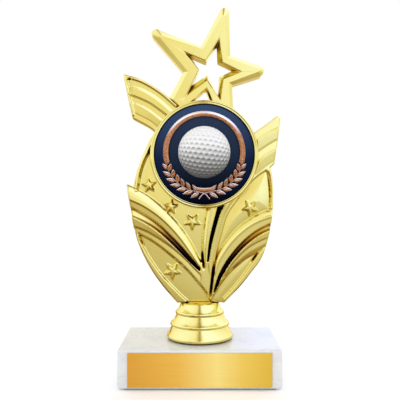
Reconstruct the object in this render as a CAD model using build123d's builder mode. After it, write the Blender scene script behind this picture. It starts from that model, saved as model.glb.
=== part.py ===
"""Star trophy: a gold-plated plastic figure on a marble base, as separate named pieces.

Frame: +X to the viewer's right, +Z up, and -Y towards the viewer. The origin is the centre of the block's
footprint, on the surface that the trophy stands on. All sizes are in millimetres.

From the bottom up: a felt sheet, a marble block with a name plate on its front, a hollow stepped foot, and a
figure made of a front and a back shell with the same relief, glued together. An open star frame is clamped
between the shells above a round collar. The collar's front seat holds a navy disc with a bronze laurel ring
and half a golf ball in relief. One threaded rod runs from a nut under the block to a nut trapped between the
two shells.
"""

import os
from math import cos, hypot, radians, sin

from build123d import *

# ---------------------------------------------------------------- driving dimensions
FELT_WIDTH, FELT_DEPTH, FELT_THICKNESS, FELT_CORNER = 76.0, 46.0, 0.8, 2.0

BASE_WIDTH, BASE_DEPTH, BASE_HEIGHT, BASE_EDGE = 80.0, 50.0, 19.0, 1.2
BASE_BOTTOM = FELT_THICKNESS
BASE_TOP = BASE_BOTTOM + BASE_HEIGHT
BASE_FRONT = BASE_DEPTH / 2

PLATE_WIDTH, PLATE_HEIGHT, PLATE_THICKNESS, PLATE_CORNER, PLATE_BEVEL = 70.0, 16.6, 0.5, 0.3, 0.12
PLATE_DROP = 0.2
PLATE_MIDDLE = BASE_BOTTOM + BASE_HEIGHT / 2 - PLATE_DROP
TAPE_THICKNESS, TAPE_INSET = 0.2, 0.75

ROD_RADIUS, ROD_HOLE_RADIUS, ROD_BEVEL = 3.0, 3.4, 0.6
COUNTERBORE_RADIUS, COUNTERBORE_DEPTH = 11.0, 10.0
NUT_ACROSS_FLATS, NUT_HEIGHT, NUT_BORE_RADIUS = 10.0, 5.0, 3.05
WASHER_RADIUS, WASHER_THICKNESS = 9.0, 1.2
SPRING_WASHER_RADIUS, SPRING_WASHER_THICKNESS, SPRING_WASHER_GAP = 5.4, 1.6, 1.0
WASHER_BOTTOM = BASE_BOTTOM + COUNTERBORE_DEPTH - WASHER_THICKNESS
SPRING_WASHER_BOTTOM = WASHER_BOTTOM - SPRING_WASHER_THICKNESS
BASE_NUT_BOTTOM = SPRING_WASHER_BOTTOM - NUT_HEIGHT

FOOT_HEIGHT, FOOT_WALL, SLEEVE_LENGTH, SLEEVE_WALL = 19.0, 1.8, 12.0, 1.8
FOOT_TOP = BASE_TOP + FOOT_HEIGHT

PLUG_RADIUS, PLUG_LENGTH, PLUG_CLEARANCE, PLUG_HOLE_DEPTH = 7.4, 13.0, 0.1, 12.0
PLUG_BOTTOM = FOOT_TOP - PLUG_LENGTH
TRAPPED_NUT_DEPTH, ROD_OVERHANG = 4.0, 1.5
TRAPPED_NUT_BOTTOM = PLUG_BOTTOM + TRAPPED_NUT_DEPTH
NUT_POCKET_GAP = 0.1
ROD_BOTTOM, ROD_TOP = BASE_NUT_BOTTOM - ROD_OVERHANG, TRAPPED_NUT_BOTTOM + NUT_HEIGHT + ROD_OVERHANG

# Heights from the split plane between the two shells. Front and back have the same relief.
GROUND, RIM, WING_GROUND, CAVITY_DEPTH = 3.0, 4.2, 3.2, 1.4
CAVITY_X, CAVITY_Z, CAVITY_WIDTH, CAVITY_HEIGHT, CAVITY_TOP_RADIUS = 1.6, 84.0, 62.0, 80.0, 22.0

COLLAR_X, COLLAR_Z, COLLAR_RADIUS, COLLAR_FRONT = 2.3, 116.1, 28.0, 8.2
COLLAR_BEVEL, GROOVE_RADIUS, GROOVE_WIDTH, GROOVE_DEPTH = 0.5, 26.9, 0.4, 0.4
SEAT_RADIUS, SEAT_FRONT = 25.9, 5.0
DISC_RADIUS, DISC_THICKNESS, DISC_BEVEL = 25.75, 2.0, 0.3
DISC_TAPE_RADIUS, DISC_TAPE_THICKNESS = 23.75, 0.2
DISC_FRONT = SEAT_FRONT + DISC_TAPE_THICKNESS + DISC_THICKNESS

MOTIF_Z = 117.2
RING_OUTER, RING_INNER, RING_HEIGHT, RING_BEVEL = 21.3, 18.5, 1.0, 0.35
LEAF_PAIRS, LEAF_START, LEAF_STEP, LEAF_SWEEP, LEAF_WIDTH, LEAF_HEIGHT = 7, 104.5, 9.8, 12.0, 2.3, 1.3
OUTER_LEAF_REACH, OUTER_LEAF_GROWTH, INNER_LEAF_REACH, STEM_REACH = 22.6, 0.35, 17.9, 20.4
STEM_WIDTH, STEM_END_REACH, STEM_START_ANGLE, STEM_END_ANGLE = 0.6, 24.4, 177.0, 173.5
BALL_RADIUS, BALL_HEIGHT = 13.5, 8.0
BALL_CURVATURE = (BALL_RADIUS**2 + BALL_HEIGHT**2) / (2 * BALL_HEIGHT)

STAR_THICKNESS, STAR_BEVEL = 10.0, 0.9
STAR_X, STAR_Z, STAR_TIP_RADIUS, STAR_TIP_REACH = 4.0, 161.0, 2.5, 30.0
TONGUE_LENGTH, TONGUE_WIDTH, TONGUE_THICKNESS, FIT_GAP = 10.0, 3.0, 2.0, 0.1

PIN_RADIUS, PIN_LENGTH = 1.2, 1.6

# ---------------------------------------------------------------- outlines of the figure, as (x, z)
PANEL_LEFT = [
    (-11.8, FOOT_TOP), (-15.9, 43.4), (-20.0, 48.4), (-24.6, 54.8), (-28.4, 61.4), (-31.4, 68.0),
    (-33.7, 75.0), (-35.2, 90.5), (-33.6, 105.0), (-26.8, 122.8), (-20.0, 134.0),
]
PANEL_RIGHT = [
    (12.9, FOOT_TOP), (21.5, 47.8), (26.8, 54.5), (32.4, 62.4), (36.9, 77.5), (38.4, 94.5), (37.2, 108.5), (32.0, 122.5),
]
LEAF_TIP = [(-34.0, 99.0), (-38.0, 100.9), (-38.4, 100.2), (-36.9, 92.0), (-34.6, 77.6), (-32.0, 77.0)]

WING_LEFT_TOP = [(-38.6, 157.7), (-30.7, 155.5), (-20.3, 149.6), (-11.4, 142.0)]
WING_LEFT_SIDE = [(-39.3, 156.8), (-37.6, 147.5), (-35.2, 135.2)]
WING_LEFT_LOW = [(-35.2, 135.2), (-24.2, 128.6), (-20.0, 122.0)]
WING_RIGHT_TOP = [(28.0, 127.6), (34.9, 132.3), (40.4, 136.6)]
WING_RIGHT_SIDE = [(42.2, 135.6), (40.9, 124.0), (39.0, 111.4)]
WING_RIGHT_LOW = [(39.0, 111.4), (36.5, 109.0), (28.0, 104.0)]

# A raised strip is an upper and a lower edge and a height. The feathers are strips on the wings.
FEATHERS = [
    (
        [(-38.0, 157.0), (-30.7, 154.8), (-20.3, 148.9), (-13.0, 142.6)],
        [(-36.4, 147.5), (-25.5, 142.8), (-17.2, 136.9)],
        5.2,
    ),
    ([(-35.9, 143.8), (-25.5, 138.6), (-19.8, 134.0)], [(-34.6, 138.4), (-25.5, 133.7), (-21.9, 130.6)], 4.8),
    ([(29.0, 127.0), (34.9, 131.2), (41.4, 135.2)], [(30.4, 118.0), (34.3, 120.7), (40.2, 124.2)], 5.0),
    ([(30.4, 112.4), (34.3, 116.0), (39.4, 118.6)], [(30.0, 106.8), (34.3, 110.3), (38.4, 113.3)], 4.6),
]

# The ridges fan out from the panel's root, up to its edge or to the collar.
RIDGES = [
    (
        [(-38.0, 100.4), (-27.6, 94.9), (-16.6, 85.3), (-8.8, 76.5), (-3.1, 67.1), (1.4, 58.2)],
        [(-35.6, 88.4), (-25.5, 82.7), (-15.1, 73.8), (-4.7, 62.4), (0.0, 57.2)],
        5.4,
    ),
    (
        [(-35.0, 83.7), (-25.5, 78.8), (-15.1, 70.2), (-4.7, 59.6), (0.0, 55.0)],
        [(-34.2, 78.6), (-22.9, 73.3), (-12.5, 66.0), (-2.1, 56.4), (2.2, 51.4)],
        5.2,
    ),
    (
        [(5.2, 90.6), (2.6, 82.0), (1.4, 69.7), (1.7, 60.0)],
        [(9.9, 90.6), (6.8, 79.1), (4.9, 69.0), (4.0, 60.0)],
        5.4,
    ),
    (
        [(12.9, 90.6), (8.6, 79.1), (6.2, 69.0), (5.2, 56.0), (5.4, 43.0)],
        [(20.3, 95.4), (12.2, 80.6), (8.4, 67.1), (6.6, 54.5), (6.0, 43.0)],
        5.4,
    ),
    (
        [(37.2, 87.1), (26.5, 82.7), (16.1, 73.6), (9.4, 61.9), (7.0, 50.0)],
        [(36.6, 80.2), (26.5, 74.4), (17.2, 65.0), (10.8, 54.1), (8.2, 48.0)],
        5.4,
    ),
    (
        [(35.9, 76.6), (27.6, 71.8), (18.7, 63.4), (12.0, 53.2), (8.4, 46.0)],
        [(33.2, 67.4), (29.1, 64.2), (19.8, 58.2), (12.5, 50.7), (7.4, 43.4)],
        5.0,
    ),
]

# The sunk fields between the rim, the collar and the ridges: curves joined end to end. Where a field meets
# a ridge or the collar, its edge lies under that.
FIELDS = [
    [
        [(-23.9, 123.2), (-28.9, 113.9), (-31.6, 105.5), (-32.8, 97.0)],
        [(-32.8, 97.0), (-27.2, 93.9), (-16.4, 84.2), (-8.9, 75.0), (-3.5, 65.8), (0.9, 59.6)],
        [(0.9, 59.6), (2.4, 69.7), (3.6, 82.0), (6.2, 90.4)],
        [(6.2, 90.4), (-8.0, 98.0), (-22.0, 118.0), (-23.9, 123.2)],
    ],
    [
        [(-31.2, 74.4), (-20.3, 67.9), (-9.9, 59.3), (0.5, 48.1), (5.2, 41.6)],
        [(5.2, 41.6), (-6.4, 40.6)],
        [(-6.4, 40.6), (-15.1, 48.1), (-23.9, 58.8), (-29.2, 67.8), (-31.2, 74.4)],
    ],
    [
        [(34.9, 107.7), (36.6, 101.0), (37.1, 93.5), (36.4, 85.6)],
        [(36.4, 85.6), (26.7, 81.4), (16.9, 72.6), (10.2, 61.4)],
        [(10.2, 61.4), (14.0, 80.6), (20.4, 93.1), (26.5, 101.4), (34.9, 107.7)],
    ],
    [
        [(28.4, 65.4), (19.0, 59.4), (11.6, 52.0), (8.2, 43.6)],
        [(8.2, 43.6), (9.2, 41.2)],
        [(9.2, 41.2), (16.1, 47.8), (23.9, 56.2), (28.4, 65.4)],
    ],
]

# Small stars in relief: centre x, centre z, radius and the angle of the first tip.
SMALL_STARS = [
    (-25.5, 100.4, 4.0, 96.0),
    (-15.1, 89.0, 4.0, 84.0),
    (-3.9, 81.2, 4.6, 270.0),
    (-14.3, 55.4, 4.6, 272.0),
    (26.3, 88.5, 4.5, 265.0),
]
SMALL_STAR_FRONT, SMALL_STAR_WAIST, SMALL_STAR_SLOPE = 4.9, 0.45, 18.0

STAR_OUTLINE = [
    (15.1, 200.5), (15.9, 168.0), (39.6, 159.9), (16.9, 152.7), (17.6, 136.0), (8.6, 137.6),
    (3.6, 150.9), (-8.2, 140.8), (-9.4, 138.6), (-15.9, 145.9), (-8.6, 159.4), (-29.8, 185.2), (0.7, 172.7),
]
STAR_OPENING = [
    (10.1, 176.6), (3.1, 164.9), (-8.1, 169.6), (-0.3, 160.5), (-7.5, 146.4), (3.9, 155.5),
    (10.2, 144.6), (12.1, 144.6), (12.0, 155.8), (21.3, 159.4), (11.7, 164.1),
]
TONGUES = [(-9.6, 140.6, -55.0), (11.6, 141.4, -100.0)]  # middle x and z, and angle
LOCATING_PINS = [(-32.1, 88.0), (35.2, 92.0), (-9.0, 43.0), (12.0, 43.0)]

# Outside of the stepped foot: radius, and height above the marble.
FOOT_PROFILE = [
    (16.8, 0.0), (17.3, 1.0), (17.2, 2.0), (15.2, 6.8), (15.6, 8.0), (14.7, 9.4), (13.7, 10.2),
    (12.3, 12.5), (12.9, 13.8), (12.0, 15.4), (11.0, 16.2), (10.2, 18.4), (9.7, FOOT_HEIGHT),
]


def outline(*curves):
    """A face bounded by curves joined end to end: a spline, or a line where a curve has two points."""
    with BuildSketch(mode=Mode.PRIVATE) as flat:
        with BuildLine():
            for curve in curves:
                if len(curve) > 2:
                    Spline(*curve)
                else:
                    Line(*curve)
        make_face()
    return flat.sketch


def between(upper, lower):
    """A strip between two curves that run the same way."""
    return outline(upper, [upper[-1], lower[-1]], lower, [upper[0], lower[0]])


def polygon(points):
    """A face bounded by straight lines."""
    with BuildSketch(mode=Mode.PRIVATE) as flat:
        with BuildLine():
            Polyline(*points, close=True)
        make_face()
    return flat.sketch


def small_star(x, z, radius, angle):
    """A five-pointed star with its first tip at the given angle."""
    reaches = [radius, radius * SMALL_STAR_WAIST] * 5
    angles = [radians(angle + 36 * i) for i in range(10)]
    return polygon([(x + reach * cos(a), z + reach * sin(a)) for reach, a in zip(reaches, angles)])


def panel_outline():
    """The egg-shaped panel, with the leaf tip that stands out on its left."""
    with BuildSketch(mode=Mode.PRIVATE) as flat:
        add(between(PANEL_LEFT, PANEL_RIGHT))
        add(polygon(LEAF_TIP))
    return flat.sketch


def figure_outline():
    """The outside of the figure without its star: panel, collar and both wings."""
    with BuildSketch(mode=Mode.PRIVATE) as flat:
        add(panel_outline())
        add(wing(WING_LEFT_TOP, WING_LEFT_SIDE, WING_LEFT_LOW))
        add(wing(WING_RIGHT_TOP[::-1], WING_RIGHT_SIDE, WING_RIGHT_LOW))
        with Locations((COLLAR_X, COLLAR_Z)):
            Circle(COLLAR_RADIUS)
    return flat.sketch


def wing(top, side, low):
    """A wing, closed by a line inside the collar."""
    return outline(top, [top[0], side[0]], side, low, [low[-1], top[-1]])


def star_outline(gap):
    """The star frame's footprint above the collar, larger by gap."""
    with BuildSketch(mode=Mode.PRIVATE) as flat:
        add(polygon(STAR_OUTLINE))
        if gap:
            offset(amount=gap, kind=Kind.INTERSECTION)
        tips = flat.vertices().filter_by(lambda v: hypot(v.X - STAR_X, v.Y - STAR_Z) > STAR_TIP_REACH)
        fillet(tips, STAR_TIP_RADIUS)
        with Locations((COLLAR_X, COLLAR_Z)):
            Circle(COLLAR_RADIUS + FIT_GAP - gap, mode=Mode.SUBTRACT)
    return flat.sketch


def tongues(gap):
    """The two tongues that reach from the star's legs into the shells."""
    with BuildSketch(mode=Mode.PRIVATE) as flat:
        for x, z, angle in TONGUES:
            with Locations(Location((x, z), angle)):
                Rectangle(TONGUE_LENGTH + 2 * gap, TONGUE_WIDTH + 2 * gap)
    return flat.sketch


def leaf(side, angle, tip_reach):
    """A pointed leaf that grows from the stem towards tip_reach, at an angle from straight up."""
    tip, root = polar(side, angle, tip_reach), polar(side, angle + LEAF_SWEEP, STEM_REACH)
    along = (tip - root).normalized()
    across = along.rotate(Axis.Z, 90) * (LEAF_WIDTH / 2)
    middle = root + (tip - root) * 0.5
    with BuildSketch(mode=Mode.PRIVATE) as flat:
        with BuildLine():
            ThreePointArc(root, middle + across, tip)
            ThreePointArc(tip, middle - across, root)
        make_face()
    return flat.sketch


def stem_end(side):
    """The end of a branch, which crosses the other one below the ring."""
    start, end = polar(side, STEM_START_ANGLE, STEM_REACH), polar(-side, STEM_END_ANGLE, STEM_END_REACH)
    across = (end - start).normalized().rotate(Axis.Z, 90) * (STEM_WIDTH / 2)
    return polygon([start - across, end - across, end + across, start + across])


def polar(side, angle, reach):
    """A point of the laurel, by its angle from straight up on one side of the motif."""
    return Vector(COLLAR_X + side * reach * sin(radians(angle)), MOTIF_Z + reach * cos(radians(angle)))


def write(piece, label):
    """Labels a finished piece and writes its STEP."""
    piece.part.label = label
    export_step(piece.part, f"parts/{label}.step")


os.makedirs("parts", exist_ok=True)

# ---------------------------------------------------------------- felt sheet
with BuildPart() as felt_sheet:
    with BuildSketch():
        RectangleRounded(FELT_WIDTH, FELT_DEPTH, FELT_CORNER)
    extrude(amount=FELT_THICKNESS)
write(felt_sheet, "felt_sheet")

# ---------------------------------------------------------------- marble base
with BuildPart() as marble_base:
    with BuildSketch(Plane.XY.offset(BASE_BOTTOM)):
        Rectangle(BASE_WIDTH, BASE_DEPTH)
    extrude(amount=BASE_HEIGHT)
    fillet(marble_base.edges(), BASE_EDGE)
    with BuildSketch(Plane.XY.offset(BASE_BOTTOM)):
        Circle(COUNTERBORE_RADIUS)
    extrude(amount=COUNTERBORE_DEPTH, mode=Mode.SUBTRACT)
    with BuildSketch(Plane.XY.offset(BASE_BOTTOM)):
        Circle(ROD_HOLE_RADIUS)
    extrude(amount=BASE_HEIGHT, mode=Mode.SUBTRACT)
write(marble_base, "marble_base")

# ---------------------------------------------------------------- name plate and its tape
with BuildPart() as plate_tape:
    with BuildSketch(Plane.XZ.offset(BASE_FRONT)):
        with Locations((0, PLATE_MIDDLE)):
            Rectangle(PLATE_WIDTH - 2 * TAPE_INSET, PLATE_HEIGHT - 2 * TAPE_INSET)
    extrude(amount=TAPE_THICKNESS)
write(plate_tape, "plate_tape")

with BuildPart() as name_plate:
    with BuildSketch(Plane.XZ.offset(BASE_FRONT + TAPE_THICKNESS)):
        with Locations((0, PLATE_MIDDLE)):
            RectangleRounded(PLATE_WIDTH, PLATE_HEIGHT, PLATE_CORNER)
    extrude(amount=PLATE_THICKNESS)
    chamfer(name_plate.faces().sort_by(Axis.Y)[0].edges(), PLATE_BEVEL)
write(name_plate, "name_plate")

# ---------------------------------------------------------------- stepped foot
with BuildPart() as stepped_foot:
    with BuildSketch(Plane.XZ):
        with BuildLine():
            Polyline(*[(r, BASE_TOP + z) for r, z in FOOT_PROFILE])
            Polyline(
                (FOOT_PROFILE[-1][0], FOOT_TOP),
                (PLUG_RADIUS + PLUG_CLEARANCE, FOOT_TOP),
                (PLUG_RADIUS + PLUG_CLEARANCE, FOOT_TOP - SLEEVE_LENGTH),
                (PLUG_RADIUS + PLUG_CLEARANCE + SLEEVE_WALL, FOOT_TOP - SLEEVE_LENGTH),
                (FOOT_PROFILE[0][0] - FOOT_WALL, BASE_TOP),
                (FOOT_PROFILE[0][0], BASE_TOP),
            )
        make_face()
    revolve(axis=Axis.Z)
write(stepped_foot, "stepped_foot")

# ---------------------------------------------------------------- star frame
with BuildPart() as star_frame:
    with BuildSketch(Plane.XZ.offset(-STAR_THICKNESS / 2)):
        add(star_outline(0))
        add(polygon(STAR_OPENING), mode=Mode.SUBTRACT)
    extrude(amount=STAR_THICKNESS)
    front_and_back = [star_frame.faces().sort_by(Axis.Y)[i] for i in (0, -1)]
    chamfer([edge for face in front_and_back for edge in face.outer_wire().edges()], STAR_BEVEL)
    with BuildSketch(Plane.XZ.offset(-TONGUE_THICKNESS / 2)):
        add(tongues(0))
    extrude(amount=TONGUE_THICKNESS)
write(star_frame, "star_frame")

# ---------------------------------------------------------------- hollows of both shells
# Two cavities, the rod hole, the nut pocket, and room for the star frame and its tongues.
with BuildPart() as hollows:
    with BuildSketch(Plane.XZ.offset(-CAVITY_DEPTH)):
        with Locations((CAVITY_X, CAVITY_Z)):
            Ellipse(CAVITY_WIDTH / 2, CAVITY_HEIGHT / 2)
        with Locations((COLLAR_X, COLLAR_Z)):
            Circle(CAVITY_TOP_RADIUS)
    extrude(amount=2 * CAVITY_DEPTH)
    with BuildSketch(Plane.XY.offset(PLUG_BOTTOM)):
        Circle(ROD_HOLE_RADIUS)
    extrude(amount=PLUG_HOLE_DEPTH)
    with BuildSketch(Plane.XY.offset(TRAPPED_NUT_BOTTOM)):
        RegularPolygon(NUT_ACROSS_FLATS / 2 + NUT_POCKET_GAP, 6, major_radius=False)
    extrude(amount=NUT_HEIGHT)
    with BuildSketch(Plane.XZ.offset(-STAR_THICKNESS / 2)):
        add(star_outline(FIT_GAP))
    extrude(amount=STAR_THICKNESS)
    with BuildSketch(Plane.XZ.offset(-TONGUE_THICKNESS / 2)):
        add(tongues(FIT_GAP))
    extrude(amount=TONGUE_THICKNESS)

# ---------------------------------------------------------------- one moulded half of the figure
# Both shells start from this half, which stands in front of the split plane.
with BuildPart() as half:
    with BuildSketch(Plane.XZ):
        add(figure_outline())
    extrude(amount=WING_GROUND)
    with BuildSketch(Plane.XZ):
        add(panel_outline())
    extrude(amount=RIM)
    for field in FIELDS:
        with BuildSketch(Plane.XZ.offset(GROUND)):
            add(outline(*field))
        extrude(amount=RIM - GROUND, mode=Mode.SUBTRACT)
    for upper, lower, height in FEATHERS + RIDGES:
        with BuildSketch(Plane.XZ.offset(GROUND / 2)):
            add(between(upper, lower))
        extrude(amount=height - GROUND / 2)
    for star in SMALL_STARS:
        with BuildSketch(Plane.XZ.offset(GROUND)):
            add(small_star(*star))
        extrude(amount=SMALL_STAR_FRONT - GROUND, taper=SMALL_STAR_SLOPE)
    with BuildSketch(Plane.XZ):
        with Locations((COLLAR_X, COLLAR_Z)):
            Circle(COLLAR_RADIUS)
    extrude(amount=COLLAR_FRONT)
    chamfer(half.faces().sort_by(Axis.Y)[0].edges(), COLLAR_BEVEL)
    with BuildSketch(Plane.XZ.offset(SEAT_FRONT)):
        with Locations((COLLAR_X, COLLAR_Z)):
            Circle(SEAT_RADIUS)
    extrude(amount=COLLAR_FRONT - SEAT_FRONT, mode=Mode.SUBTRACT)
    with BuildSketch(Plane.XZ.offset(COLLAR_FRONT - GROOVE_DEPTH)):
        with Locations((COLLAR_X, COLLAR_Z)):
            Circle(GROOVE_RADIUS + GROOVE_WIDTH / 2)
            Circle(GROOVE_RADIUS - GROOVE_WIDTH / 2, mode=Mode.SUBTRACT)
    extrude(amount=GROOVE_DEPTH, mode=Mode.SUBTRACT)
    with BuildSketch(Plane.XY.offset(PLUG_BOTTOM)):
        Circle(PLUG_RADIUS)
        with Locations((0, PLUG_RADIUS)):
            Rectangle(2 * PLUG_RADIUS, 2 * PLUG_RADIUS, mode=Mode.SUBTRACT)
    extrude(amount=PLUG_LENGTH)

# ---------------------------------------------------------------- front shell, with the pin sockets
with BuildPart() as front_shell:
    add(half.part)
    add(hollows.part, mode=Mode.SUBTRACT)
    with BuildSketch(Plane.XZ):
        with Locations(*LOCATING_PINS):
            Circle(PIN_RADIUS + FIT_GAP)
    extrude(amount=PIN_LENGTH + FIT_GAP, mode=Mode.SUBTRACT)
write(front_shell, "front_shell")

# ---------------------------------------------------------------- back shell, with the pins
with BuildPart() as back_shell:
    add(half.part.mirror(Plane.XZ))
    add(hollows.part, mode=Mode.SUBTRACT)
    with BuildSketch(Plane.XZ):
        with Locations(*LOCATING_PINS):
            Circle(PIN_RADIUS)
    extrude(amount=PIN_LENGTH)
write(back_shell, "back_shell")

# ---------------------------------------------------------------- insert, laurel ring and golf ball
with BuildPart() as insert_tape:
    with BuildSketch(Plane.XZ.offset(SEAT_FRONT)):
        with Locations((COLLAR_X, COLLAR_Z)):
            Circle(DISC_TAPE_RADIUS)
    extrude(amount=DISC_TAPE_THICKNESS)
write(insert_tape, "insert_tape")

with BuildPart() as insert_disc:
    with BuildSketch(Plane.XZ.offset(SEAT_FRONT + DISC_TAPE_THICKNESS)):
        with Locations((COLLAR_X, COLLAR_Z)):
            Circle(DISC_RADIUS)
    extrude(amount=DISC_THICKNESS)
    chamfer(insert_disc.faces().sort_by(Axis.Y)[0].edges(), DISC_BEVEL)
write(insert_disc, "insert_disc")

with BuildPart() as laurel_ring:
    with BuildSketch(Plane.XZ.offset(DISC_FRONT)):
        with Locations((COLLAR_X, MOTIF_Z)):
            Circle(RING_OUTER)
            Circle(RING_INNER, mode=Mode.SUBTRACT)
    extrude(amount=RING_HEIGHT)
    chamfer(laurel_ring.faces().sort_by(Axis.Y)[0].edges(), RING_BEVEL)
    with BuildSketch(Plane.XZ.offset(DISC_FRONT)):
        for side in (-1, 1):
            for i in range(LEAF_PAIRS):
                for reach in (OUTER_LEAF_REACH + OUTER_LEAF_GROWTH * i, INNER_LEAF_REACH):
                    add(leaf(side, LEAF_START + LEAF_STEP * i, reach))
            add(stem_end(side))
    extrude(amount=LEAF_HEIGHT)
write(laurel_ring, "laurel_ring")

with BuildPart() as golf_ball:
    with BuildSketch(Plane.YZ.offset(COLLAR_X)):
        with Locations((BALL_CURVATURE - BALL_HEIGHT - DISC_FRONT, MOTIF_Z)):
            Circle(BALL_CURVATURE)
        with Locations((-DISC_FRONT, MOTIF_Z)):
            Rectangle(BALL_HEIGHT, BALL_RADIUS, align=(Align.MAX, Align.MIN), mode=Mode.INTERSECT)
    revolve(axis=Axis((COLLAR_X, 0, MOTIF_Z), (0, 1, 0)))
write(golf_ball, "golf_ball")

# ---------------------------------------------------------------- threaded rod, nuts and washers
with BuildPart() as threaded_rod:
    with BuildSketch(Plane.XY.offset(ROD_BOTTOM)):
        Circle(ROD_RADIUS)
    extrude(amount=ROD_TOP - ROD_BOTTOM)
    chamfer(threaded_rod.edges().filter_by(GeomType.CIRCLE), ROD_BEVEL)
write(threaded_rod, "threaded_rod")

with BuildPart() as base_washer:
    with BuildSketch(Plane.XY.offset(WASHER_BOTTOM)):
        Circle(WASHER_RADIUS)
        Circle(ROD_HOLE_RADIUS, mode=Mode.SUBTRACT)
    extrude(amount=WASHER_THICKNESS)
write(base_washer, "base_washer")

with BuildPart() as spring_washer:
    with BuildSketch(Plane.XY.offset(SPRING_WASHER_BOTTOM)):
        Circle(SPRING_WASHER_RADIUS)
        Circle(ROD_HOLE_RADIUS, mode=Mode.SUBTRACT)
        with Locations((SPRING_WASHER_RADIUS, 0)):
            Rectangle(2 * SPRING_WASHER_RADIUS, SPRING_WASHER_GAP, mode=Mode.SUBTRACT)
    extrude(amount=SPRING_WASHER_THICKNESS)
write(spring_washer, "spring_washer")

with BuildPart() as rod_nuts:
    for bottom in (BASE_NUT_BOTTOM, TRAPPED_NUT_BOTTOM):
        with BuildSketch(Plane.XY.offset(bottom)):
            RegularPolygon(NUT_ACROSS_FLATS / 2, 6, major_radius=False)
            Circle(NUT_BORE_RADIUS, mode=Mode.SUBTRACT)
        extrude(amount=NUT_HEIGHT)
write(rod_nuts, "rod_nuts")
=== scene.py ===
"""Star trophy in Blender: fine meshes, materials, floor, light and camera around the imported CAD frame.

Lists of points are in millimetres, as (x, z) in the shared frame, and heights are measured from the split
plane between the two shells, which is y = 0. Meshes are scaled to metres when they are made.
"""

from math import cos, pi, radians, sin, tan

import bmesh
import bpy
import numpy as np
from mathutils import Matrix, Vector
from mathutils.geometry import delaunay_2d_cdt, tessellate_polygon


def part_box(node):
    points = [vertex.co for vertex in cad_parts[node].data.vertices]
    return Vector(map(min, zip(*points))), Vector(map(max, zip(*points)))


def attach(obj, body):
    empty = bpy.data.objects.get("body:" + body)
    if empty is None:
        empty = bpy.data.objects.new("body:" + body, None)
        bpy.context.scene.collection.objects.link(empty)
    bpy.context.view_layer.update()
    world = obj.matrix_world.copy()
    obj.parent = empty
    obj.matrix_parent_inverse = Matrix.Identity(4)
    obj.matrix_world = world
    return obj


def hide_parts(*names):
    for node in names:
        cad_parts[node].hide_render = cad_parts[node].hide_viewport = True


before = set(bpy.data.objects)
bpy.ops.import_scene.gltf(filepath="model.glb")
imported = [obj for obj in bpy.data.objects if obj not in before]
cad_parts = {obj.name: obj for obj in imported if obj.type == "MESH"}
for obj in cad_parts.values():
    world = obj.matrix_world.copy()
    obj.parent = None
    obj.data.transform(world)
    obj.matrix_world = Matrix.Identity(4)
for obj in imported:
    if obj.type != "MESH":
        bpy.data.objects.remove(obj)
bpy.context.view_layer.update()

MM = 0.001


def node_box(node):
    """A CAD node's lowest and highest corners, in millimetres."""
    low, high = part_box(node)
    return np.array(low) / MM, np.array(high) / MM


# ---------------------------------------------------------------- places taken from the CAD frame
disc_low, disc_high = node_box("insert_disc")
ball_low, ball_high = node_box("golf_ball")
foot_low, foot_high = node_box("stepped_foot")
felt_low, felt_high = node_box("felt_sheet")
DISC_X, DISC_Z = (disc_low[0] + disc_high[0]) / 2, (disc_low[2] + disc_high[2]) / 2
DISC_BACK, DISC_FRONT, DISC_RADIUS = -disc_high[1], -disc_low[1], (disc_high[0] - disc_low[0]) / 2
MOTIF_Z = (ball_low[2] + ball_high[2]) / 2
BALL_RADIUS, BALL_HEIGHT = (ball_high[0] - ball_low[0]) / 2, ball_high[1] - ball_low[1]
PLATE_WIDTH, INNER_NAVY = 70.0, 18.6
FOOT_BOTTOM, FOOT_TOP = foot_low[2], foot_high[2]
STAR_HALF = node_box("star_frame")[1][1]

# ---------------------------------------------------------------- outlines and relief of the figure
OUTLINE_STEP = 0.3
PANEL_LEFT = [
    (-11.8, 38.8), (-15.9, 43.4), (-20.0, 48.4), (-24.6, 54.8), (-28.4, 61.4), (-31.4, 68.0),
    (-33.7, 75.0), (-35.2, 90.5), (-33.6, 105.0), (-26.8, 122.8), (-20.0, 134.0),
]
PANEL_RIGHT = [
    (12.9, 38.8), (21.5, 47.8), (26.8, 54.5), (32.4, 62.4), (36.9, 77.5), (38.4, 94.5), (37.2, 108.5),
    (32.0, 122.5),
]
LEAF_TIP = [(-34.0, 99.0), (-38.0, 100.9), (-38.4, 100.2), (-36.9, 92.0), (-34.6, 77.6), (-32.0, 77.0)]
WING_LEFT = [
    [(-39.8, 158.4), (-30.7, 155.7), (-20.3, 149.6), (-11.4, 142.0)],
    [(-20.0, 122.0), (-24.2, 128.6), (-35.2, 135.2)],
    [(-35.2, 135.2), (-37.9, 147.5), (-39.9, 157.2)],
]
WING_RIGHT = [
    [(28.0, 127.6), (34.9, 132.3), (40.4, 136.6)],
    [(42.2, 135.6), (40.9, 124.0), (39.0, 111.4)],
    [(39.0, 111.4), (36.5, 109.0), (28.0, 104.0)],
]

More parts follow.
